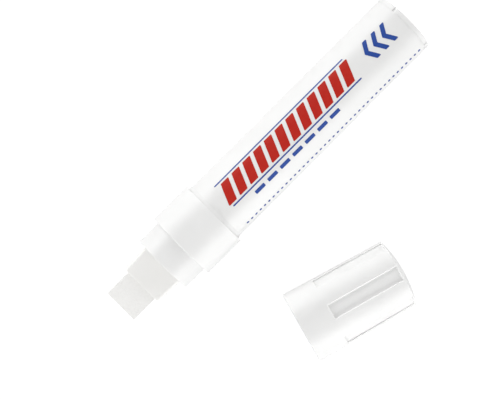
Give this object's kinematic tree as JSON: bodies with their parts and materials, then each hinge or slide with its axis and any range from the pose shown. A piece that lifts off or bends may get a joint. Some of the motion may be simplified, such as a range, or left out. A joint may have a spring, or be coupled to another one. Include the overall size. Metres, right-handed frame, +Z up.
{
  "type": "liquid chalk marker",
  "caption": "White liquid chalk marker lying on its side: plain barrel, stepped nose, broad sprung chisel nib, and its grooved cap taken off beside it.",
  "frame": {"origin": "centre of the flat tail face, on the marker's axis", "axes": "+X along the marker's axis from the tail to the nib; +Z up, square to the nib's broad face; +Y to the side where the cap lies"},
  "size_m": [0.1668, 0.1017, 0.0317],
  "materials": {
    "white_plastic": "satin",
    "sleeve_plastic": "satin",
    "liner_plastic": "satin",
    "inner_plastic": "satin",
    "felt": "pressed felt",
    "seal_rubber": "matt",
    "spring_steel": "drawn wire",
    "ball_steel": "polished"
  },
  "bodies": {
    "marker": {"barrel": "white_plastic", "tail_plug": "white_plastic", "nose_housing": "white_plastic", "neck_seal": "seal_rubber", "nib_sleeve": "sleeve_plastic", "valve_housing": "inner_plastic", "valve_spring": "spring_steel", "spring_retainer": "inner_plastic"},
    "nib_unit": {"nib": "felt", "nib_carrier": "inner_plastic", "valve_plunger": "inner_plastic", "valve_seal": "seal_rubber"},
    "ball": {"mixing_ball": "ball_steel"},
    "cap": {"cap_shell": "white_plastic", "cap_liner": "liner_plastic"}
  },
  "joints": [
    {"name": "nib_press", "type": "slide", "parent": "marker", "child": "nib_unit", "axis": [-1, 0, 0], "range_m": [0, 0.003], "stiffness_N_per_m": 600, "springref_m": -0.004, "deforming": ["valve_spring"]},
    {"name": "ball_roll", "type": "slide", "parent": "marker", "child": "ball", "axis": [1, 0, 0], "range_m": [0, 0.0872]},
    {"name": "cap_pull", "type": "slide", "parent": "marker", "child": "cap", "axis": [-0.9635, 0.2672, 0.0158], "range_m": [0, 0.0354]}
  ]
}
